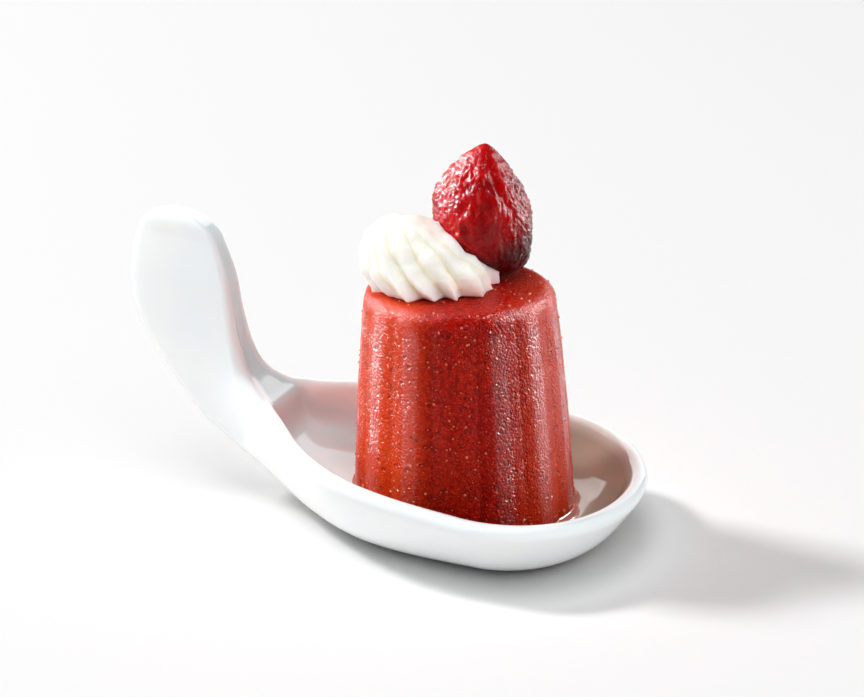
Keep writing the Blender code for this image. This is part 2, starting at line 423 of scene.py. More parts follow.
@dataclass(frozen=True)
class AgarJelly:
    """Red agar jelly turned out of a mould.

    Light goes some millimetres in and comes back red. Its two sides as photographed are
    painted more orange, as painted light that shines through them, and its pebbles carry a
    painted highlight. The skin is damp and finely wrinkled, so its sheen is soft; painted shade
    darkens its wrinkles, and burst bubbles leave rings with painted shade on their walls and a
    painted highlight at their bottom.
    """

    deep: str = "#a00c05"
    # orange of the painted light that shines through its two sides, also used in its cloudier
    # patches
    side_glow_and_cloud: str = "#cc3c0c"
    # grain is a painted highlight, on the pebbles and at the bottom of burst bubbles
    grain: str = "#e05a3c"
    # pit is painted shade, in the wrinkles and on the walls of burst bubbles
    pit: str = "#600502"
    damp: tuple[float, float] = (0.18, 0.12)  # roughness and specular level in the flutes
    dull: tuple[float, float] = (0.3, 0.55)  # the same on their crests
    ior: float = 1.36
    reach: float = 0.007
    leftward: tuple[float, float, float] = (-0.927, -0.375, 0.0)  # as photographed
    axis_leftward: float = 18.2  # brings the yokan's axis to 0 that way
    around: float = 21.0  # the radius that the side's pattern is laid round

    def make(self) -> Material:
        """Make the material.

        Returns:
            The material.
        """
        material, add = new_material("agar jelly")
        place = millimetres(add)
        # Painted light: its two sides as photographed, from 4 mm left of its axis and from 5 mm
        # right of it, are painted more orange, as if light shone through them.
        across = add("VectorMath", {"operation": "DOT_PRODUCT"}, (place, self.leftward))
        aside = add("Math", {"operation": "ADD"}, (across, self.axis_leftward))
        painted_side_glow = add("Math", {"operation": "MAXIMUM"}, (
            add("MapRange", SMOOTH, (aside, 4.0, 17.0)),
            add("MapRange", SMOOTH, (aside, -19.0, -5.0, 0.5, 0.0))))
        # Cloudy and clearer jelly in patches of about 15 mm.
        clouds = add("TexNoise", None, {"Vector": place, "Scale": 0.07, "Detail": 3.0})
        orange = add("Math", {"operation": "MAXIMUM"}, (
            painted_side_glow, add("MapRange", SMOOTH, (clouds, 0.35, 0.68, 0.0, 0.12))))
        body = add("Mix", COLOURS, {0: orange, 6: self.deep, 7: self.side_glow_and_cloud})
        # Pebbled skin, its pebbles 0.5 mm apart, with a painted highlight on each pebble's top.
        pebbles = add("TexVoronoi", {"feature": "SMOOTH_F1"},
                      {"Vector": place, "Scale": 2.0, "Smoothness": 0.4, "Randomness": 1.0})
        body = add("Mix", COLOURS, {0: add("MapRange", SMOOTH, (pebbles, 0.1, 0.42, 0.4, 0.0)),
                                    6: body, 7: self.grain})
        # Painted shade in the wrinkles, about 1 mm apart, stronger in the middle of the front than
        # at the sides.
        skin = add("TexNoise", None, {"Vector": place, "Scale": 1.1, "Detail": 3.0,
                                      "Roughness": 0.6, "Distortion": 0.8})
        wrinkles = add("Math", {"operation": "MULTIPLY"}, (
            add("MapRange", SMOOTH, (skin, 0.4, 0.58, 0.6, 0.0)),
            add("MapRange", SMOOTH, (painted_side_glow, 0.0, 0.6, 1.0, 0.12))))
        body = add("Mix", COLOURS, {0: wrinkles, 6: body, 7: self.pit})
        # Burst bubbles 0.5 to 1.2 mm wide and 1.8 mm apart, with painted shade on their walls and a
        # painted highlight at their bottom, and dents 0.3 to 0.7 mm wide between them and on the
        # top.
        holes = self.holes_round_side(add, place)
        walls = add("Math", {"operation": "MULTIPLY"}, (
            holes, add("Math", {"operation": "SUBTRACT"}, (1.0, holes))))
        body = add("Mix", COLOURS, {0: add("MapRange", SMOOTH, (walls, 0.05, 0.22, 0.0, 0.95)),
                                    6: body, 7: self.pit})
        body = add("Mix", COLOURS, {0: add("MapRange", SMOOTH, (holes, 0.8, 1.0, 0.0, 0.6)),
                                    6: body, 7: self.grain})
        dents = add("Math", {"operation": "MAXIMUM"}, (holes, self.holes(add, place, 0.85, 0.3)))
        grains = add("Bump", {"invert": True}, {"Distance": 0.0002, "Height": pebbles})
        wrinkled = add("Bump", None, {"Strength": 0.8, "Distance": 0.0002, "Height": skin,
                                      "Normal": grains})
        dented = add("Bump", {"invert": True}, {"Distance": 0.00015, "Height": dents,
                                                "Normal": wrinkled})
        # The crest attribute is 1 along the crests between the flutes, where the skin is dull.
        crest = add("Attribute", {"attribute_name": "crest"}).outputs["Fac"]
        names = ("Roughness", "Specular IOR Level")
        sheen = {name: wet if wet == dry else add("MapRange", SMOOTH, (crest, 0.0, 1.0, wet, dry))
                 for name, wet, dry in zip(names, self.damp, self.dull)}
        return finished(material, sheen | {
            "Base Color": body, "Normal": dented, "IOR": self.ior, "Subsurface Weight": 1.0,
            "Subsurface Radius": (1.0, 0.16, 0.08), "Subsurface Scale": self.reach})

    def holes_round_side(self, add: Callable, place: Node) -> Node:
        """Scatter round pits over the unrolled side, up to its upper edge.

        Args:
            add: Adds a node to the material.
            place: The coordinates in millimetres.

        Returns:
            A node that is 1 at the bottom of a pit and 0 outside it.
        """
        parts = add("SeparateXYZ", None, (place,))
        east = add("Math", {"operation": "SUBTRACT"}, (parts.outputs["X"], YOKAN_AXIS))
        angle = add("Math", {"operation": "ARCTAN2"}, (parts.outputs["Y"], east))
        along = add("Math", {"operation": "MULTIPLY"}, (angle, self.around))
        unrolled = add("CombineXYZ", None, (along, parts.outputs["Z"]))
        return add("Math", {"operation": "MULTIPLY"}, (
            self.holes(add, unrolled, 0.55, 0.33),
            add("MapRange", SMOOTH, (parts.outputs["Z"], 49.0, 52.0, 1.0, 0.0))))

    @staticmethod
    def holes(add: Callable, place: Node, per_mm: float, width: float) -> Node:
        """Scatter round pits.

        Args:
            add: Adds a node to the material.
            place: The coordinates in millimetres.
            per_mm: How many fit in a millimetre.
            width: The largest pit's radius as a share of their spacing.

        Returns:
            A node that is 1 at the bottom of a pit and 0 outside it.
        """
        cells = add("TexVoronoi", None, {"Vector": place, "Scale": per_mm, "Randomness": 1.0})
        radius = add("MapRange", SMOOTH, (cells.outputs["Color"], 0.2, 0.8, 0.45 * width, width))
        reach = add("Math", {"operation": "DIVIDE"}, (cells, radius))
        return add("MapRange", SMOOTH, (reach, 0.35, 1.0, 1.0, 0.0))


@dataclass(frozen=True)
class WhippedCream:
    """Whipped dairy cream from a star nozzle.

    It scatters light a millimetre or two, so its grooves stay light; their faint yellow is
    painted shade. Its surface is matt with a soft greasy sheen.
    """

    ridge: str = "#fffaee"
    # groove is painted shade, faintly yellow, at the bottom of the grooves
    groove: str = "#f8f1da"
    roughness: float = 0.5
    ior: float = 1.4
    reach: float = 0.0025

    def make(self) -> Material:
        """Make the material.

        Returns:
            The material.
        """
        material, add = new_material("whipped cream")
        # The groove attribute is 1 at the bottom of the nozzle's grooves, where faintly yellow
        # painted shade goes.
        groove = add("Attribute", {"attribute_name": "groove"}).outputs["Fac"]
        colour = add("Mix", COLOURS, {0: add("MapRange", SMOOTH, (groove, 0.6, 1.0)),
                                      6: self.ridge, 7: self.groove})
        # Air bubbles and drag marks of about 0.7 mm.
        grain = add("TexNoise", None, {"Vector": millimetres(add), "Scale": 1.4, "Detail": 3.0})
        bump = add("Bump", None, {"Strength": 0.35, "Distance": 0.0002, "Height": grain})
        return finished(material, {
            "Base Color": colour, "Normal": bump, "Roughness": self.roughness, "IOR": self.ior,
            "Subsurface Weight": 1.0, "Subsurface Radius": (1.0, 0.85, 0.65),
            "Subsurface Scale": self.reach})


@dataclass(frozen=True)
class PreservedCherry:
    """A whole cherry preserved in syrup.

    Its shrivelled skin is wet with syrup, so it glints sharply on every wrinkle, and the
    flesh under it is a clear deep red.
    """

    flesh: str = "#cc0002"
    shade: str = "#980003"
    # painted shade for its lower half, most at the foot and further up on the right
    painted_low_shade: str = "#560002"
    roughness: float = 0.4
    ior: float = 1.38
    reach: float = 0.002
    syrup: float = 0.5
    syrup_roughness: float = 0.04
    painted_low_shade_up: tuple[float, float, float] = (-0.371, -0.15, 1.0)  # tilted to the left
    painted_low_shade_from: float = 48.4
    painted_low_shade_to: float = 59.4

    def make(self) -> Material:
        """Make the material.

        Returns:
            The material.
        """
        material, add = new_material("preserved cherry")
        place = millimetres(add)
        # Lighter and darker flesh in patches of about 6 mm.
        patches = add("TexNoise", None, {"Vector": place, "Scale": 0.18, "Detail": 3.0})
        red = add("Mix", COLOURS, {0: add("MapRange", SMOOTH, (patches, 0.4, 0.7)),
                                   6: self.flesh, 7: self.shade})
        # Painted shade darkens its lower half, most at the foot, and further up on the right.
        height = add("VectorMath", {"operation": "DOT_PRODUCT"}, (place, self.painted_low_shade_up))
        share = add("MapRange", SMOOTH, (height, self.painted_low_shade_from, self.painted_low_shade_to, 1.0, 0.0))
        red = add("Mix", COLOURS, {0: share, 6: red, 7: self.painted_low_shade})
        # Fine wrinkles of the skin, 1 mm apart, between the modelled ones.
        fine = add("TexNoise", None, {"Vector": place, "Scale": 1.0, "Detail": 2.0,
                                      "Roughness": 0.5, "Distortion": 1.5})
        bump = add("Bump", None, {"Distance": 0.0003, "Height": fine})
        return finished(material, {
            "Base Color": red, "Normal": bump, "Roughness": self.roughness, "IOR": self.ior,
            "Specular IOR Level": 0.1, "Subsurface Weight": 0.8,
            "Subsurface Radius": (1.0, 0.08, 0.05), "Subsurface Scale": self.reach,
            "Coat Weight": self.syrup, "Coat Roughness": self.syrup_roughness,
            "Coat IOR": self.ior, "Coat Normal": bump})


@dataclass(frozen=True)
class ClearJuice:
    """Clear juice that the jelly lets go, faintly pink with a sharp gloss."""

    tint: str = "#e0958c"
    roughness: float = 0.03
    ior: float = 1.34
    clearness: float = 0.4

    def make(self) -> Material:
        """Make the material."""
        material, _ = new_material("clear juice")
        return finished(material, {"Base Color": self.tint, "Roughness": self.roughness,
                                   "IOR": self.ior, "Transmission Weight": self.clearness})


@dataclass(frozen=True)
class MattSheet:
    """The plain white sheet that the serving stands on in the render."""

    colour: str = "#fafafa"

    def make(self) -> Material:
        """Make the material."""
        material, _ = new_material("white sheet")
        return finished(material, {"Base Color": self.colour, "Roughness": 1.0,
                                   "Specular IOR Level": 0.0})


# The spoon


@dataclass(frozen=True)
class Section:
    """One section across the spoon.

    The keel is the underside's middle line and the rim the lip, or on the handle its inner
    edge. Depth is that of the hollow, foot and floor are half the widths that are flat, flare
    is the wall's slope under the rim, lip_turn is how far the lip rolls in, and fullness is
    how square the outer side is.
    """

    keel_x: float
    keel_z: float
    rim_x: float
    rim_z: float
    half_width: float
    depth: float
    foot: float
    floor: float
    flare: float
    lip_turn: float
    fullness: float
    lip_radius: float

    def wall(self, rise: float, steps: tuple[int, int, int] = (26, 12, 22),
             pull: float = 0.55) -> Array:
        """Draw half of the section: foot, outer wall, lip, inner wall and floor.

        Args:
            rise: The height from keel to rim.
            steps: Points on the outer wall, the lip and the inner wall.
            pull: How square the inner side is.

        Returns:
            The points, as distances out and up.
        """
        flare, turn = math.radians(self.flare), math.radians(self.lip_turn)
        reach = self.half_width - self.lip_radius
        turns = np.linspace(flare - QUARTER, turn, steps[1])
        lip = np.column_stack((reach + self.lip_radius * np.cos(turns),
                               rise - self.lip_radius + self.lip_radius * np.sin(turns)))
        foot = np.array((self.foot, 0.0))
        floor = np.array((min(self.floor, lip[-1][0]), rise - self.depth))
        slope = np.array((math.cos(flare), math.sin(flare)))
        outer = bezier(foot, foot + (self.fullness * (lip[0][0] - foot[0]), 0.0),
                       lip[0] - slope * self.fullness * rise, lip[0], steps[0])
        leaving = np.array((-math.sin(turn), math.cos(turn)))
        run, fall = np.maximum(lip[-1] - floor, 0.0)
        drawn = pull * (abs(leaving[0]) * run + abs(leaving[1]) * fall)
        inner = bezier(lip[-1], lip[-1] + leaving * drawn, floor + (pull * run, 0.0), floor,
                       steps[2])
        under = [(share * foot[0], 0.0) for share in (0.0, 0.35, 0.7, 1.0)]
        over = [(share * floor[0], floor[1]) for share in (0.7, 0.35, 0.0)]
        return np.vstack((under, outer, lip[1:], inner, over))

    def placed(self) -> Array:
        """Place the half section in the tilted plane of its keel and rim.

        Returns:
            Its points.
        """
        across, height = self.rim_x - self.keel_x, self.rim_z - self.keel_z
        rise = max(math.hypot(across, height), TINY)
        out, up = self.wall(rise).T
        low = np.maximum(self.keel_z + up * height / rise, 0.0)
        return np.column_stack((self.keel_x + up * across / rise, out, low))


@dataclass
class PorcelainSpoon:
    """The spoon: a wide bowl whose throat runs up into an upright handle."""

    sections: tuple = (
        Section(10.7, 0.0, 10.7, 16.6, 32.2, 11.0, 12.0, 11.5, 64.0, 154.0, 0.55, 1.9),
        Section(-5.0, 0.0, -5.0, 18.4, 31.9, 12.8, 11.5, 11.0, 64.0, 154.0, 0.55, 1.9),
        Section(-18.0, 0.0, -18.0, 20.0, 29.2, 12.8, 8.0, 9.0, 65.0, 154.0, 0.55, 2.0),
        Section(-30.0, 2.2, -29.0, 21.5, 22.8, 10.2, 4.0, 9.0, 67.0, 154.0, 0.56, 2.4),
        Section(-41.0, 6.8, -37.5, 23.4, 15.2, 7.6, 1.5, 6.5, 72.0, 150.0, 0.58, 3.0),
        Section(-46.0, 9.1, -41.0, 24.5, 12.1, 1.4, 1.0, 5.0, 76.0, 116.0, 0.60, 3.0),
        Section(-51.0, 11.4, -44.0, 25.7, 9.2, 0.5, 0.6, 3.0, 80.0, 102.0, 0.62, 3.0),
        Section(-61.5, 18.2, -48.6, 29.2, 6.0, 0.2, 0.3, 0.8, 88.0, 96.0, 0.68, 2.4),
        Section(-71.0, 30.0, -51.0, 34.6, 4.6, 0.6, 0.3, 0.3, 90.0, 96.0, 0.74, 1.9),
        Section(-76.6, 41.0, -52.6, 41.6, 3.9, 0.2, 0.3, 0.3, 90.0, 90.0, 0.78, 1.6),
        Section(-77.4, 50.5, -53.8, 49.4, 3.4, 0.0, 0.3, 0.3, 90.0, 90.0, 0.80, 1.4),
        Section(-75.4, 58.4, -56.2, 56.6, 2.8, 0.0, 0.3, 0.3, 90.0, 90.0, 0.80, 1.2),
    )
    handle_top: tuple[float, float] = (-67.0, 63.4)
    handle_edge: float = 3.0
    tip_x: float = 38.2
    tip_roundness: float = 2.0
    tip_rim_height: float = 14.4
    tip_ease: float = 1.25
    tip_floor_thickness: float = 5.6
    tip_foot: float = 11.0
    tip_floor: float = 9.0
    tip_flare: float = 56.0
    steps: tuple[int, int, int] = (40, 130, 16)  # sections on the tip, the rest and the end
    # Where brown is painted inside the bowl's right part, partly for juice and partly as painted
    # shade
    juice_and_shade_columns: tuple[int, int] = (34, 42)  # from the lip to the wall below it
    juice_and_shade_from: float = -14.0  # along the spoon, where the juice starts
    juice_and_shade_over: float = 20.0
    # Where a cool tint is painted inside the bowl, to offset the jelly's red light
    painted_cool_tint_columns: tuple[int, int] = (39, 48)  # from the lip's inner edge down the wall
    painted_cool_tint_from: float = -62.0  # along the spoon, on the handle
    painted_cool_tint_over: float = 12.0

    def tip_sections(self) -> list[Array]:
        """Draw the half sections that fan round from the tip to the widest place.

        Returns:
            The points of each.
        """
        widest = self.sections[0]
        tip = replace(widest, foot=self.tip_foot, floor=self.tip_floor, flare=self.tip_flare,
                      lip_turn=self.tip_flare + 90.0)
        drawn = []
        for step in range(self.steps[0]):
            angle = QUARTER * step / self.steps[0]
            along = math.cos(angle) / (self.tip_x - widest.rim_x)
            across = math.sin(angle) / widest.half_width
            power = self.tip_roundness
            reach = (along**power + across**power) ** (-1 / power)
            share = math.sin(angle) ** 2
            mixed = Section(*(np.array(astuple(tip)) * (1 - share)
                              + np.array(astuple(widest)) * share))
            drop = widest.rim_z - self.tip_rim_height
            rise = self.tip_rim_height + drop * (1 - math.cos(angle)) ** self.tip_ease
            mixed = replace(mixed, half_width=reach, depth=rise - self.tip_floor_thickness)
            out, up = mixed.wall(rise).T
            x = widest.keel_x + out * math.cos(angle)
            drawn.append(np.column_stack((x, out * math.sin(angle), up)))
        return drawn

    @staticmethod
    def arc(start: Array, before: Array, top: Array, angle: float) -> Array:
        """Read the arc that leaves start as the curve came and is level at top.

        Args:
            start: Where the arc leaves.
            before: A point of the curve just before it.
            top: Where the arc is level.
            angle: How far along it, from 0 to a quarter turn.

        Returns:
            The point there.
        """
        tangent = start - before
        centre = top - tangent * (top[1] - start[1]) / tangent[1]
        return centre + (start - centre) * math.cos(angle) + (top - centre) * math.sin(angle)

    def handle_sections(self) -> list[Array]:
        """Draw the half sections from the widest place to the handle's rounded top.

        Returns:
            The points of each.
        """
        rows = np.array([astuple(section) for section in self.sections])
        last = len(rows) - 1
        _, along, ending = self.steps
        drawn = [Section(*spline(rows, last * step / along)).placed() for step in range(along + 1)]
        end, before = self.sections[-1], spline(rows, last - 0.05)
        top = np.array(self.handle_top)
        for step in range(1, ending + 1):
            angle = QUARTER * step / ending
            keel = self.arc(rows[-1][0:2], before[0:2], top, angle)
            rim = self.arc(rows[-1][2:4], before[2:4], top, angle)
            drop = (top[1] - end.keel_z) * (1 - math.sin(angle))
            rounded = math.sqrt(1 - max(1 - drop / self.handle_edge, 0.0) ** 2)
            narrowed = replace(end, keel_x=keel[0], keel_z=keel[1], rim_x=rim[0], rim_z=rim[1],
                               half_width=end.half_width * rounded,
                               foot=end.foot * math.cos(angle),
                               floor=end.floor * math.cos(angle),
                               lip_radius=end.lip_radius * rounded)
            drawn.append(narrowed.placed())
        return drawn

    def build(self) -> Piece:
        """Build the spoon and hide the node that it stands for.

        Returns:
            The piece.
        """
        halves = np.array(self.tip_sections() + self.handle_sections())
        rings = np.concatenate((halves, halves[:, ::-1] * (1.0, -1.0, 1.0)), axis=1)
        # Brown painted on the inside of the bowl's right part, partly for juice and partly as
        # painted shade.
        wet = ramp(rings[:, :, 0], self.juice_and_shade_from, self.juice_and_shade_over)
        wet = self.inside(halves.shape[1], self.juice_and_shade_columns) * wet * wet * (3 - 2 * wet)
        # A cool tint painted over the inside of the bowl, to offset the jelly's red light.
        pooled = (self.inside(halves.shape[1], self.painted_cool_tint_columns)
                  * ramp(rings[:, :, 0], self.painted_cool_tint_from, self.painted_cool_tint_over))
        spoon = loft("porcelain_spoon", rings, GlazedPorcelain().make(),
                     {"wet": wet, "pooled": pooled})
        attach(spoon, BODY)
        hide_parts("spoon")
        return spoon

    @staticmethod
    def inside(half: int, columns: tuple[int, int]) -> Array:
        """Say how far inside the bowl each point of a ring lies.

        Args:
            half: Points in half a ring.
            columns: The points between which it rises from 0 to 1.

        Returns:
            A share for each point.
        """
        rise = ramp(np.arange(half), columns[0], columns[1] - columns[0])
        return np.concatenate((rise, rise[::-1]))


# The yokan


@dataclass
class FlutedYokan:
    """The jelly: a fluted frustum that stands in the bowl and follows its floor."""

    foot_radius: float = 23.6
    top_radius: float = 19.6
    bulge: float = 0.6
    edge_radius: float = 2.8
    lean: float = 1.3
    flutes: int = 14
    flute_depth: float = 0.9
    flute_fade: float = 0.45
    flute_phase: float = 18.1
    flute_roundness: float = 0.8
    crest_from: float = 0.70  # on the wave of the flutes, where the dull skin starts
    crest_over: float = 0.25
    wet_crest: float = -72.0  # the direction of the crest in front, as wet as the flutes
    wet_width: float = 12.0
    swell_sizes: tuple[float, float] = (9.0, 1.6)
    swell_depths: tuple[float, float] = (0.16, 0.05)
    top_depth: float = 0.10
    top_from: float = 0.84  # below the top, on its rounded edge
    even_below: float = 10.0  # where the bowl's wall is near
    dull_past: float = 1.0  # above the side, where the crests' dull skin ends
    dull_fade: float = 3.0
    columns: int = 420
    rows: tuple[int, int, int, int] = (9, 110, 9, 36)  # underside, side, edge and top

    def wave(self, angle: Array) -> Array:
        """Read the wave of the flutes: 0 in the middle of one and 1 between two."""
        return np.abs(np.sin(self.flutes / 2 * (angle - math.radians(self.flute_phase))))

    def side(self, angle: Array, height: Array | float, inward: float = 0.0,
             fade: float = 1.0) -> Array:
        """Place points on the fluted side.

        Args:
            angle: Angles round the axis, in radians.
            height: Heights above the table.
            inward: How far the points are drawn in.
            fade: How much of the flutes shows.

        Returns:
            The points.
        """
        share = height / YOKAN_TOP
        radius = self.foot_radius + (self.top_radius - self.foot_radius) * share - inward
        radius = radius + self.bulge * np.sin(math.pi * share)
        depth = fade * (1 - self.flute_fade * share) * self.flute_depth
        radius = radius - depth * (1 - self.wave(angle) ** self.flute_roundness)
        lean_x, lean_y = view_point(-self.lean, 0.0)
        return np.column_stack((lean_x * share + radius * np.cos(angle),
                                lean_y * share + radius * np.sin(angle),
                                np.broadcast_to(height, angle.shape)))

    def build(self, bowl: BVHTree) -> Piece:
        """Build the yokan in its spoon and hide the node that it stands for.

        Args:
            bowl: The faces of the spoon that it stands in.

        Returns:
            The piece.
        """
        angles = circle(self.columns)
        rings = []
        under, up, over, flat = self.rows
        for share in np.linspace(0.0, 1.0, under):
            rings.append(drop_onto(bowl, self.side(angles, 0.0) * (share, share, 1.0)))
            rings[-1][:, 2] += GAP
        foot = rings[-1][:, 2]
        shoulder = YOKAN_TOP - self.edge_radius
        for share in np.linspace(0.0, 1.0, up)[1:]:
            rings.append(self.side(angles, foot + (shoulder - foot) * share))
        for turn in np.linspace(0.0, QUARTER, over)[1:]:
            rings.append(self.side(angles, shoulder + self.edge_radius * math.sin(turn),
                                   self.edge_radius * (1 - math.cos(turn)), 1 - math.sin(turn)))
        middle = view_point(-self.lean, 0.0)
        reach = self.top_radius - self.edge_radius
        for share in np.linspace(1.0, 0.0, flat)[1:]:
            rings.append(np.column_stack((middle[0] + reach * share * np.cos(angles),
                                          middle[1] + reach * share * np.sin(angles),
                                          np.full(angles.shape, YOKAN_TOP))))
        rings = np.array(rings)
        self.make_uneven(rings)
        yokan = loft("fluted_yokan", rings, AgarJelly().make(),
                     {"crest": self.crests(angles, rings)})
        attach(yokan, BODY)
        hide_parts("yokan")
        return yokan

    def crests(self, angles: Array, rings: Array) -> Array:
        """Say how near each point lies to a crest between two flutes.

        Args:
            angles: Angles round the axis, in radians.
            rings: The yokan's rings of points.

        Returns:
            1 on a crest, and 0 in a flute, on the wet front crest and on the top.
        """
        dull = ramp(self.wave(angles), self.crest_from, self.crest_over)
        turned = turned_from(angles, math.radians(self.wet_crest))
        dull = dull * (1 - np.exp(-((turned / math.radians(self.wet_width)) ** 2)))
        below = YOKAN_TOP - self.edge_radius + self.dull_past - rings[:, :, 2]
        return dull * ramp(below, 0.0, self.dull_fade)

    def make_uneven(self, rings: Array) -> None:
        """Swell and sink the skin slightly, in place.

        Args:
            rings: The yokan's rings of points.
        """
        flat = rings.reshape(-1, 3)
        out = unit(flat * (1.0, 1.0, 0.0))
        slow = roughness_at(flat, self.swell_sizes[0], 2, 1.0)
        quick = roughness_at(flat, self.swell_sizes[1], 2, 2.0)
        swell = self.swell_depths[0] * slow + self.swell_depths[1] * quick
        on_top = flat[:, 2] > YOKAN_TOP - self.top_from
        side = (flat[:, 2] > self.even_below) & ~on_top
        flat[side] += (out * swell[:, None])[side]
        flat[on_top, 2] -= self.top_depth * np.abs(quick[on_top])


# The toppings


@dataclass
class CreamSwirl:
    """The cream: a swirl from a star nozzle, its tip drawn over to the left."""

    middle: tuple[float, float] = (-6.4, 0.6)
    tip: tuple[float, float] = (-13.0, -1.0)
    half_width: float = 13.4
    half_depth: float = 11.2
    height: float = 14.2
    roundness: float = 0.92
    tuck: float = 0.10
    tuck_from: float = 0.82
    ridges: int = 16
    ridge_depth: float = 2.1
    foot_from: float = 0.75  # below this the ridges grow pointed
    twist: float = 24.0
    lumps: float = 0.9
    lump_size: float = 4.5
    drag: float = 0.1
    drag_size: float = 1.1
    base: float = YOKAN_TOP + GAP
    columns: int = 480
    rows: int = 90
    # How the ridges wander, how their depth varies, and how far the outline is from an oval.
    wander: tuple = ((0.7, 2, 0, 1.0), (0.4, 5, 0, 0.4), (0.5, 4, 6, 0.0), (0.35, 9, -7, 2.0))
    strength: tuple = ((0.3, 3, 0, 4.0), (0.25, 7, 0, 1.0))
    uneven: tuple = ((0.5, 3, 0, 0.7), (0.35, 5, 2, 2.1))

    def ring(self, angle: Array, fall: float) -> tuple[Array, Array]:
        """Place one ring of the swirl.

        Args:
            angle: Angles round it, in radians.
            fall: 0 at its tip and 1 at its foot.

        Returns:
            The points, and how deep in a groove each lies.
        """
        up = math.cos(QUARTER * fall)
        spread = math.sin(QUARTER * fall) ** self.roundness
        middle, tip = np.array(self.middle), np.array(self.tip)
        axis = middle + (tip - middle) * up
        tuck = 1.0 - self.tuck * max((fall - self.tuck_from) / (1 - self.tuck_from), 0.0)
        phase = with_waves(self.ridges * (angle + math.radians(self.twist) * fall), self.wander,
                           angle, fall)
        # Both ridges are centred on the swirl's own outline: round ones above, pointed below.
        crest = 0.5 + 0.5 * np.cos(phase)
        pointed = (1 - np.abs(np.sin(phase / 2))) ** 0.8
        foot = ramp(fall, self.foot_from, 1 - self.foot_from)
        ridge = (1 - foot) * (crest**0.8 - 0.55) + foot * (pointed - 0.4)
        # They start faint at the tip and are deepest at the foot.
        depth = self.ridge_depth * (0.1 + 0.9 * fall**2.2)
        relief = (depth * ridge * with_waves(1.0, self.strength, angle, fall)
                  + with_waves(0.0, self.uneven, angle, fall) * fall)
        right = axis[0] + np.cos(angle) * spread * (self.half_width * tuck + relief)
        near = axis[1] + np.sin(angle) * spread * (self.half_depth * tuck + relief)
        x, y = view_point(right, near)
        points = np.column_stack((x, y, np.full(angle.shape, self.base + self.height * up)))
        return points, (1 - crest) ** 4 * min(1.0, 3 * fall)

    def build(self, hollow: Piece) -> Piece:
        """Build the swirl, press the cherry's place into it and hide the node that it stands for.

        Args:
            hollow: The shape that is pressed into it, which is used up.

        Returns:
            The piece.
        """
        angles = circle(self.columns)
        made = [self.ring(angles, fall) for fall in np.linspace(0.0, 1.0, self.rows)]
        rings = np.array([points for points, _ in made])
        self.make_uneven(rings)
        under = np.tile((*view_point(*self.middle), self.base), (1, self.columns, 1))
        depths = np.array([depth for _, depth in made] + [np.zeros(self.columns)])
        cream = loft("cream_swirl", np.concatenate((rings, under)), WhippedCream().make(),
                     {"groove": depths})
        press = cream.modifiers.new("cherry pressed in", "BOOLEAN")
        press.operation = "DIFFERENCE"
        press.object = hollow
        settle(cream)
        bpy.data.objects.remove(hollow)
        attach(cream, BODY)
        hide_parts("cream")
        return cream

    def make_uneven(self, rings: Array) -> None:
        """Lump the cream and drag its skin slightly, in place.

        Args:
            rings: The swirl's rings of points.
        """
        flat = rings.reshape(-1, 3)
        out = unit(flat - (*view_point(*self.middle), self.base))
        swell = (self.lumps * roughness_at(flat, self.lump_size, 2, 8.0)
                 + self.drag * roughness_at(flat, self.drag_size, 2, 9.0))
        out[:, 2] *= ramp(flat[:, 2], self.base, 2.0)
        flat += out * swell[:, None]
        flat[:, 2] = np.maximum(flat[:, 2], self.base)


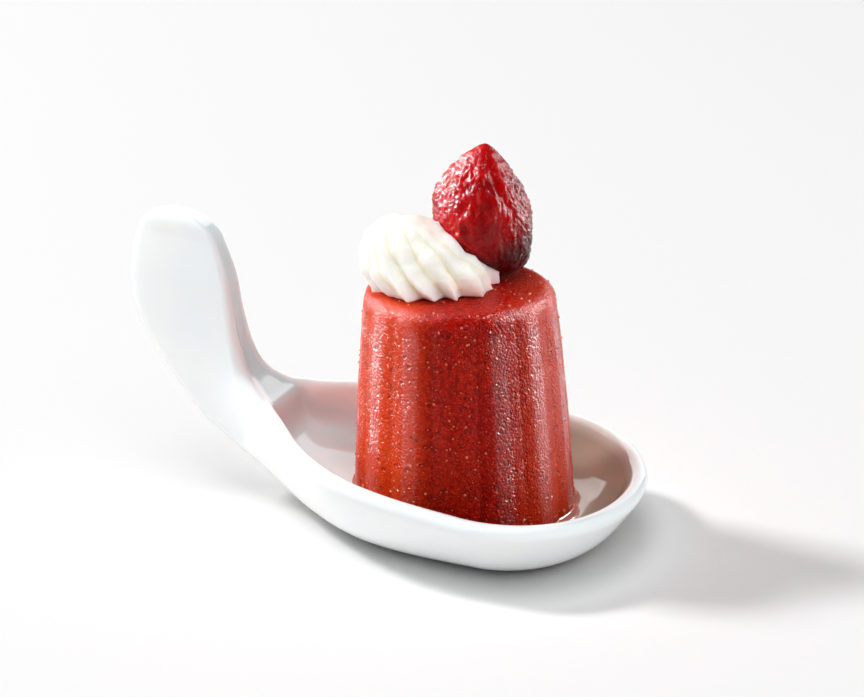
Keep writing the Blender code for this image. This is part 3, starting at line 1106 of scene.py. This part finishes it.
@dataclass
class CherryOnTop:
    """The cherry: set point up, its shrivelled skin creased from tip to foot."""

    foot: tuple[float, float] = (8.0, -7.0)
    middle: tuple[float, float] = (3.3, -6.4)
    tip: tuple[float, float] = (3.9, -6.0)
    bow: float = 0.9
    radius: float = 10.2
    height: float = 28.0
    widest: float = 0.43
    roundness: tuple[float, float] = (0.5, 0.95)  # below and above the widest place
    dent: float = 0.35
    dents: tuple = ((1.0, 3, 5, 0.0), (0.8, 5, -7, 1.3))
    blunt: float = 1.5
    base: float = YOKAN_TOP + GAP
    crease_depth: float = 0.34
    crease_size: float = 3.4
    crease_stretch: float = 0.45  # below 1 runs them from tip to foot
    pucker: float = 0.55
    pucker_size: float = 1.25
    pucker_stretch: float = 0.8
    smooth_at: float = 82.0  # the direction of a smooth band down the front
    smooth_width: float = 0.35  # in radians, as the fold's widths
    smoothness: float = 0.8
    fold_depth: float = 0.9
    fold_at: float = 75.0  # its direction beside the tip
    fold_turn: float = 60.0  # how far it would turn on its way to the foot
    fold_end: float = 0.45  # the share of the height that it reaches down to
    fold_run: float = 0.25  # the share over which it deepens, and narrows from the tip
    fold_width: float = 0.13
    fold_spread: float = 0.35  # how much wider it is beside the tip
    columns: int = 300
    rows: int = 220

    def ring(self, angle: Array, share: float, grow: float) -> Array:
        """Place one ring of the cherry.

        Args:
            angle: Angles round it, in radians.
            share: The share of its height.
            grow: How far it is swollen.

        Returns:
            The points.
        """
        upper = share > self.widest
        offset = (share - self.widest) / (1 - self.widest if upper else self.widest)
        radius = self.radius * max(1 - offset**2, 0.0) ** self.roundness[upper]
        if upper:
            radius += self.blunt * offset**6 * math.sqrt(max(1 - offset**8, 0.0))
        dents = with_waves(0.0, self.dents, angle, share)
        radius = np.maximum(radius + self.dent * dents * math.sin(math.pi * share) + grow, 0.0)
        middle = np.array(self.middle)
        axis = middle + (np.array(self.foot) - middle) * min(offset, 0.0) ** 2
        axis = axis + (np.array(self.tip) - middle) * max(offset, 0.0)
        bowed = axis[0] - self.bow * math.sin(math.pi * max(offset, 0.0))
        x, y = view_point(bowed + radius * np.cos(angle), axis[1] + radius * np.sin(angle))
        height = self.height * share + grow * (2 * share - 1)
        return np.column_stack((x, y, np.full(angle.shape, self.base + height)))

    def rings(self, columns: int, rows: int, grow: float) -> Array:
        """Place the cherry's rings, closer together at its ends.

        Args:
            columns: Points round it.
            rows: Rings from foot to tip.
            grow: How far it is swollen.

        Returns:
            The rings of points.
        """
        shares = (1 - np.cos(np.pi * np.arange(rows + 1) / rows)) / 2
        swell = [grow if 0 < row < rows else 0.0 for row in range(rows + 1)]
        return np.array([self.ring(circle(columns), s, g) for s, g in zip(shares, swell)])

    def build(self) -> Piece:
        """Build the cherry and hide the node that it stands for.

        Returns:
            The piece.
        """
        rings = self.rings(self.columns, self.rows, 0.0)
        flat = rings.reshape(-1, 3)
        out = unit(flat - flat.mean(axis=0))
        angle = np.tile(circle(self.columns), len(rings))
        share = (flat[:, 2] - self.base) / self.height
        creases = 1 - 2.2 * np.abs(
            roughness_at(flat * (1.0, 1.0, self.crease_stretch), self.crease_size, 3, 4.0))
        puckers = np.abs(
            roughness_at(flat * (1.0, 1.0, self.pucker_stretch), self.pucker_size, 1, 5.0))
        # Each pattern is centred on the smooth skin, and all fade out at the two ends.
        away = (angle - math.radians(self.smooth_at)) / self.smooth_width
        depth = self.crease_depth * (creases - 0.6) - self.fold(angle, share)
        depth += self.pucker * (puckers - 0.2) * (1 - self.smoothness * np.exp(-(away**2)))
        depth *= np.clip(3.0 * np.sin(np.pi * share), 0.0, 1.0)
        flat += out * depth[:, None]
        cherry = loft("preserved_cherry", rings, PreservedCherry().make())
        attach(cherry, BODY)
        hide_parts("cherry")
        return cherry

    def fold(self, angle: Array, share: Array) -> Array:
        """Crease the skin from beside the tip down the right side.

        Args:
            angle: The angle at which each point lies, in radians.
            share: The share of the height at which it lies.

        Returns:
            How deep the crease is at each point.
        """
        course = math.radians(self.fold_at) - math.radians(self.fold_turn) * (1 - share)
        long = ramp(share, self.fold_end, self.fold_run) * ramp(1.0 - share, 0.0, 0.03)
        width = self.fold_width + self.fold_spread * ramp(share, 1 - self.fold_run, self.fold_run)
        return self.fold_depth * long * np.exp(-((turned_from(angle, course) / width) ** 2))

    def hollow(self) -> Piece:
        """Build the smooth shape that the cherry presses into the cream."""
        return loft("cherry_hollow", self.rings(96, 60, GAP), ClearJuice().make())


# Juice and bubbles


@dataclass
class JuiceAtFoot:
    """The clear juice that stands in the corner between the jelly and the bowl."""

    climb: float = 1.5
    spread: float = 1.3
    sink: float = 0.25
    columns: int = 300
    steps: int = 8

    def build(self, yokan: FlutedYokan, bowl: BVHTree) -> Piece:
        """Build the ring of juice, hollow towards the air.

        Args:
            yokan: The yokan's sizes.
            bowl: The faces of the spoon that it stands in.

        Returns:
            The piece.
        """
        angles = circle(self.columns)
        under = drop_onto(bowl, yokan.side(angles, 0.0, self.sink))
        rings = [under, yokan.side(angles, under[:, 2] + self.climb, self.sink)]
        for share in np.linspace(0.0, 1.0, self.steps):
            rings.append(drop_onto(bowl, yokan.side(angles, under[:, 2], -self.spread * share)))
            rings[-1][:, 2] += self.climb * (1 - share) ** 2
        rings.append(drop_onto(bowl, yokan.side(angles, 0.0, -self.spread)))
        rings[-1][:, 2] -= self.sink
        rings.append(under)
        juice = loft("juice_at_foot", np.array(rings), ClearJuice().make())
        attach(juice, BODY)
        return juice


@dataclass
class SkinBubbles:
    """Small bubbles that stand out of the jelly's skin, scattered by Geometry Nodes."""

    spacing: float = 1.4
    radius: float = 0.25
    density: float = 0.11  # the most for a square millimetre
    seed: int = 7
    scales: tuple[float, float] = (0.45, 1.3)
    # The film is the jelly's finish in paler colours, with the same painted glow and painted
    # highlight.
    film: AgarJelly = AgarJelly("#c44a34", "#f08e70", "#f2a088", "#c44a34", (0.1, 0.5),
                                (0.1, 0.5), reach=0.001)

    def tree(self, names: tuple[str, ...]) -> Tree:
        """Build the tree that scatters them.

        Args:
            names: What its inputs are called: spacing, radius, density and seed.

        Returns:
            The tree, with the named inputs.
        """
        tree = bpy.data.node_groups.new("skin bubbles", "GeometryNodeTree")
        for name in ("Geometry", *names):
            kind = {"Geometry": "Geometry", "Seed": "Int"}.get(name, "Float")
            tree.interface.new_socket(name, in_out="INPUT", socket_type="NodeSocket" + kind)
        tree.interface.new_socket("Geometry", in_out="OUTPUT", socket_type="NodeSocketGeometry")
        add = partial(add_node, tree)
        given = add("NodeGroupInput").outputs
        scatter = add("DistributePointsOnFaces", {"distribute_method": "POISSON"},
                      {"Mesh": given["Geometry"], "Distance Min": given["Spacing"],
                       "Density Max": given["Density"], "Seed": given["Seed"]})
        size = add("FunctionNodeRandomValue", {"data_type": "FLOAT"},
                   {2: self.scales[0], 3: self.scales[1], "Seed": given["Seed"]})
        ball = add("MeshIcoSphere", None, {"Radius": given["Radius"], "Subdivisions": 2})
        placed = add("InstanceOnPoints", None,
                     {"Points": scatter, "Instance": ball, "Scale": size,
                      "Rotation": scatter.outputs["Rotation"]})
        real = add("RealizeInstances", None, {"Geometry": placed})
        smooth = add("SetShadeSmooth", None, {"Geometry": real})
        dressed = add("SetMaterial", None, {"Geometry": smooth, "Material": self.film.make()})
        add("NodeGroupOutput", None, {"Geometry": dressed})
        return tree

    def build(self, yokan: Piece) -> Piece:
        """Scatter the bubbles over the yokan.

        Args:
            yokan: The yokan.

        Returns:
            The bubbles as one piece.
        """
        bubbles = bpy.data.objects.new("yokan_bubbles", yokan.data.copy())
        bpy.context.scene.collection.objects.link(bubbles)
        values = {"Spacing": self.spacing * MM, "Radius": self.radius * MM,
                  "Density": self.density / MM**2, "Seed": self.seed}
        scatter = bubbles.modifiers.new("scatter", "NODES")
        scatter.node_group = self.tree(tuple(values))
        for item in scatter.node_group.interface.items_tree:
            if item.in_out == "INPUT" and item.name in values:
                scatter[item.identifier] = values[item.name]
        settle(bubbles)
        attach(bubbles, BODY)
        return bubbles


# Stage


def stand_up(name: str, data: bpy.types.ID, target: Vector, azimuth: float, elevation: float,
             distance: float) -> Piece:
    """Stand a lamp or the camera up, facing the target.

    Args:
        name: The name of its object.
        data: The lamp or the camera.
        target: The point that it faces.
        azimuth: Its direction from the target, to the right of the photograph's camera.
        elevation: Its direction above the table.
        distance: Its distance from the target in metres.

    Returns:
        Its object.
    """
    turn, rise = math.radians(VIEW_TURN + azimuth), math.radians(elevation)
    away = Vector((math.sin(turn) * math.cos(rise), -math.cos(turn) * math.cos(rise),
                   math.sin(rise)))
    holder = bpy.data.objects.new(name, data)
    holder.location = target + away * distance
    holder.rotation_euler = away.to_track_quat("Z", "Y").to_euler()
    bpy.context.scene.collection.objects.link(holder)
    return holder


@dataclass(frozen=True)
class SoftBox:
    """A studio lamp, placed by its direction from the serving as the camera sees it.

    Its distance, width and height are metres and its power watts.
    """

    name: str
    azimuth: float
    elevation: float
    distance: float
    width: float
    height: float
    power: float
    part: Part
    reaches: tuple[str, ...] = ()  # the only pieces that it reaches, if any are named
    colour: str = "#ffffff"

    def place(self, target: Vector) -> None:
        """Set the lamp up, facing the target.

        Args:
            target: The point that it faces.
        """
        lamp = bpy.data.lights.new(self.name, "AREA")
        lamp.shape = "RECTANGLE"
        lamp.size, lamp.size_y = self.width, self.height
        lamp.energy = self.power
        lamp.color = linear(self.colour)[:3]
        holder = stand_up(self.name, lamp, target, self.azimuth, self.elevation, self.distance)
        holder.visible_camera = False
        holder.visible_diffuse = holder.visible_transmission = self.part is Part.LIGHT
        holder.visible_glossy = self.part is Part.GLOSS
        if self.reaches:
            reached = bpy.data.collections.new(f"reached by {self.name}")
            for name in self.reaches:
                reached.objects.link(bpy.data.objects[name])
            holder.light_linking.receiver_collection = reached


@dataclass
class Studio:
    """The white sheet, the lamps and the camera. Its sizes are metres."""

    target: tuple[float, float, float] = (YOKAN_AXIS * MM, 0.0, 0.040)
    distance: float = 0.56
    sensor: float = 36.0  # millimetres, as the lens
    lens: float = 112.7
    shift: tuple[float, float] = (-0.03927, 0.00316)
    nearest: float = 0.01
    ambient: float = 0.08
    sheet: float = 8.0
    lamps: tuple = (
        SoftBox("key", -111.5, 42.0, 4.0, 0.6, 0.6, 98.0, Part.LIGHT),
        SoftBox("overhead", -60.0, 82.0, 3.0, 2.0, 2.0, 37.0, Part.LIGHT, FOOD + ("floor",)),
        SoftBox("overhead on the glaze", -60.0, 82.0, 3.0, 2.0, 2.0, 26.0, Part.LIGHT,
                PORCELAIN_PIECES),
        SoftBox("left side", -72.0, 16.0, 4.0, 3.0, 2.0, 47.0, Part.LIGHT, SERVING),
        SoftBox("right side", 66.0, 16.0, 4.0, 3.0, 2.0, 64.0, Part.LIGHT,
                PORCELAIN_PIECES + JELLY_PIECES + CREAM_PIECES),
        SoftBox("top front", 15.0, 52.0, 4.0, 3.0, 3.0, 36.0, Part.LIGHT),
        SoftBox("bowl light", 20.0, 70.0, 2.0, 1.0, 1.0, 8.0, Part.LIGHT, PORCELAIN_PIECES,
                "#b4f0ff"),
        SoftBox("top glow", 0.0, 80.0, 2.0, 1.0, 1.0, 8.0, Part.LIGHT, JELLY_PIECES),
        SoftBox("cream light", 15.0, 30.0, 2.0, 1.0, 1.0, 1.6, Part.LIGHT, CREAM_PIECES),
        SoftBox("left glow", -80.0, 8.0, 2.0, 1.0, 1.0, 10.0, Part.LIGHT, JELLY_PIECES, "#fff0a0"),
        SoftBox("right glow", 92.0, 30.0, 2.0, 1.0, 1.0, 9.0, Part.LIGHT, JELLY_PIECES, "#fff0a0"),
        SoftBox("back panel", 180.0, 24.0, 3.0, 4.0, 2.4, 75.0, Part.GLOSS, PORCELAIN_PIECES),
        *(SoftBox(*row, Part.GLOSS, JELLY_PIECES) for row in (
            ("left reflector", -62.0, 20.0, 0.25, 0.09, 0.26, 0.7),
            ("key reflector", -116.0, 20.0, 0.25, 0.1, 0.26, 4.8),
            ("right reflector", 44.0, 20.0, 0.25, 0.09, 0.26, 0.5),
            ("side reflector", 94.0, 20.0, 0.25, 0.08, 0.26, 3.4),
            ("rear reflector", 135.0, 18.0, 1.0, 0.6, 0.6, 8.0),
            ("left shoulder", -113.0, 38.0, 0.25, 0.14, 0.14, 1.6),
            ("right shoulder", 113.0, 37.0, 0.25, 0.16, 0.16, 3.6))),
        *(SoftBox(*row, Part.GLOSS, CHERRY_PIECES) for row in (
            ("cherry panel", 110.0, 10.0, 0.5, 0.3, 0.4, 7.0),
            ("cherry sparkle", -104.0, 44.0, 0.5, 0.12, 0.12, 13.0),
            ("cherry glint", -114.0, 24.0, 0.5, 0.12, 0.14, 10.0))),
    )

    def build(self) -> None:
        """Build the stage."""
        bpy.ops.mesh.primitive_plane_add(size=self.sheet)
        floor = bpy.context.object
        floor.name = "floor"
        floor.data.materials.append(MattSheet().make())
        target = Vector(self.target)
        for lamp in self.lamps:
            lamp.place(target)
        world = bpy.data.worlds.new("studio")
        world.use_nodes = True
        feed(world.node_tree, world.node_tree.nodes["Background"],
             {"Color": "#ffffff", "Strength": self.ambient})
        bpy.context.scene.world = world
        bpy.context.scene.view_settings.view_transform = "Standard"
        self.set_camera(target)

    def set_camera(self, target: Vector) -> None:
        """Set the camera at the photograph's angle.

        Args:
            target: The point that it faces.
        """
        camera = bpy.data.cameras.new("camera")
        camera.sensor_width = self.sensor
        camera.lens = self.lens
        camera.shift_x, camera.shift_y = self.shift
        camera.clip_start = self.nearest
        bpy.context.scene.camera = stand_up("camera", camera, target, 0.0, VIEW_RISE,
                                            self.distance)


def main() -> None:
    """Build the serving from the spoon up, then the stage."""
    logging.basicConfig(level=logging.INFO, format="%(message)s")
    spoon = PorcelainSpoon().build()
    bowl = BVHTree.FromObject(spoon, bpy.context.evaluated_depsgraph_get())
    jelly = FlutedYokan()
    yokan = jelly.build(bowl)
    juice = JuiceAtFoot().build(jelly, bowl)
    topping = CherryOnTop()
    cherry = topping.build()
    cream = CreamSwirl().build(topping.hollow())
    bubbles = SkinBubbles().build(yokan)
    for piece in (spoon, yokan, juice, cherry, cream, bubbles):
        piece.data.calc_loop_triangles()
        LOG.info("%s: %d triangles", piece.name, len(piece.data.loop_triangles))
    Studio().build()


if __name__ == "__main__":
    main()
